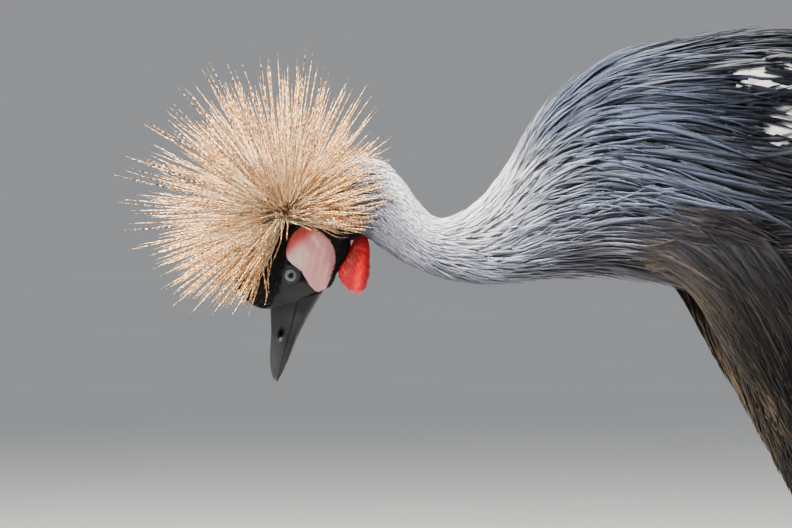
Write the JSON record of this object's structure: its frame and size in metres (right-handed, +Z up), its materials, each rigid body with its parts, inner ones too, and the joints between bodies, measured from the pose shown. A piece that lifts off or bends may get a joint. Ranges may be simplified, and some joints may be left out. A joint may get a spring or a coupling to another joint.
{
  "type": "grey crowned crane",
  "caption": "Life-size still model of a grey crowned crane, standing with its neck lowered and its bill pointing at the ground.",
  "frame": {"origin": "on the floor, below the middle of the bird's box", "axes": "+Z up, -X the way the bird faces, -Y its left side"},
  "size_m": [0.9132, 0.2434, 0.6345],
  "materials": {
    "head_velvet": "short dense black feathers, like velvet",
    "bill_horn": "smooth charcoal horn, paler at the tip",
    "crest_straw": "stiff straw-gold bristles with a low sheen",
    "wattle_skin": "soft wrinkled bright red skin",
    "neck_feather": "soft pale grey feathers",
    "body_feather": "long narrow blue-grey feathers",
    "tail_feather": "black flight feathers",
    "eye": "wet pale blue-grey eye with a black pupil",
    "cheek_skin": "bare pinkish white skin, red along the top",
    "wing_feather": "white coverts, golden plumes, chestnut and black flight feathers",
    "thigh_feather": "dark grey feathers",
    "leg_scale": "dark grey scaled skin",
    "claw_horn": "dull black horn"
  },
  "bodies": {
    "root": {"head": "head_velvet", "bill_upper": "bill_horn", "bill_lower": "bill_horn", "crest": "crest_straw", "wattle": "wattle_skin", "neck_upper": "neck_feather", "neck_lower": "neck_feather", "torso": "body_feather", "tail": "tail_feather", "eye_left": "eye", "cheek_left": "cheek_skin", "wing_left": "wing_feather", "thigh_left": "thigh_feather", "tarsus_left": "leg_scale", "foot_left": "leg_scale", "claw_left_inner": "claw_horn", "claw_left_middle": "claw_horn", "claw_left_outer": "claw_horn", "claw_left_hind": "claw_horn", "eye_right": "eye", "cheek_right": "cheek_skin", "wing_right": "wing_feather", "thigh_right": "thigh_feather", "tarsus_right": "leg_scale", "foot_right": "leg_scale", "claw_right_inner": "claw_horn", "claw_right_middle": "claw_horn", "claw_right_outer": "claw_horn", "claw_right_hind": "claw_horn"}
  },
  "joints": []
}
